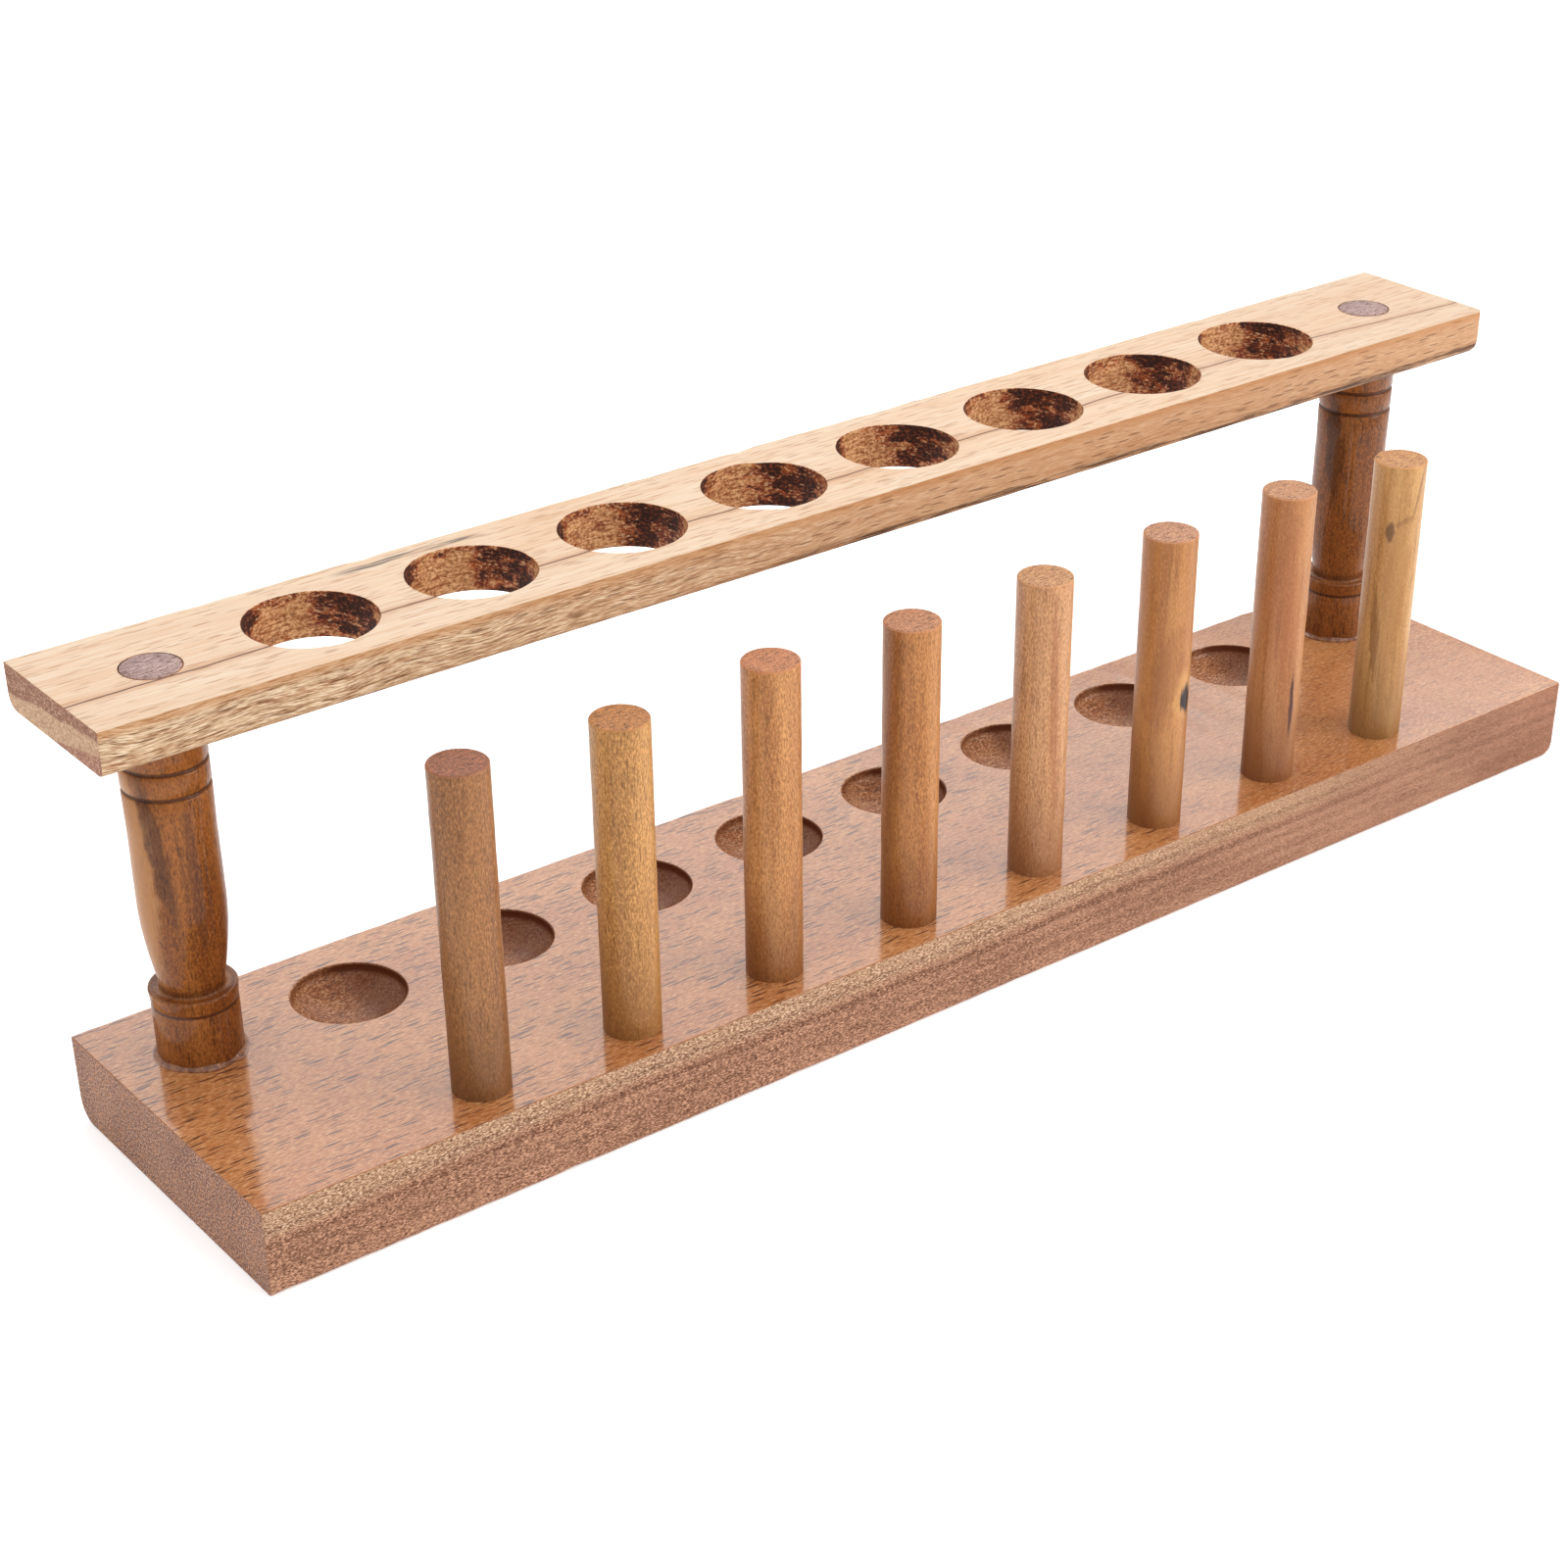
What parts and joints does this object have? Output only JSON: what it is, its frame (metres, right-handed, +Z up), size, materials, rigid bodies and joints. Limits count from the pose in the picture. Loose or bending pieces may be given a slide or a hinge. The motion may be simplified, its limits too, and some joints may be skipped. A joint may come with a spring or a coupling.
{
  "type": "test tube rack",
  "caption": "Wooden test tube rack: a pierced top board on two turned posts over a recessed base board, with a front row of upright drying pegs.",
  "frame": {"origin": "middle of the base board's underside", "axes": "+X along the rack, +Y from the peg side to the tube side, +Z up"},
  "size_m": [0.303, 0.065, 0.0852],
  "materials": {
    "base_wood": "reddish tan hardwood under gloss varnish",
    "top_wood": "pale straight-grained wood, satin",
    "left_post_wood": "turned medium brown hardwood, varnished",
    "right_post_wood": "turned medium brown hardwood, varnished",
    "dark_peg_wood": "dark brown dowel, satin varnish",
    "olive_peg_wood": "olive brown dowel, satin varnish",
    "orange_peg_wood": "orange brown dowel, satin varnish",
    "light_peg_wood": "light tan dowel, satin varnish"
  },
  "bodies": {
    "root": {"base_board": "base_wood", "top_board": "top_wood", "left_post": "left_post_wood", "right_post": "right_post_wood", "drying_peg_1": "dark_peg_wood", "drying_peg_2": "olive_peg_wood", "drying_peg_3": "orange_peg_wood", "drying_peg_4": "orange_peg_wood", "drying_peg_5": "light_peg_wood", "drying_peg_6": "orange_peg_wood", "drying_peg_7": "orange_peg_wood", "drying_peg_8": "olive_peg_wood"}
  },
  "joints": []
}
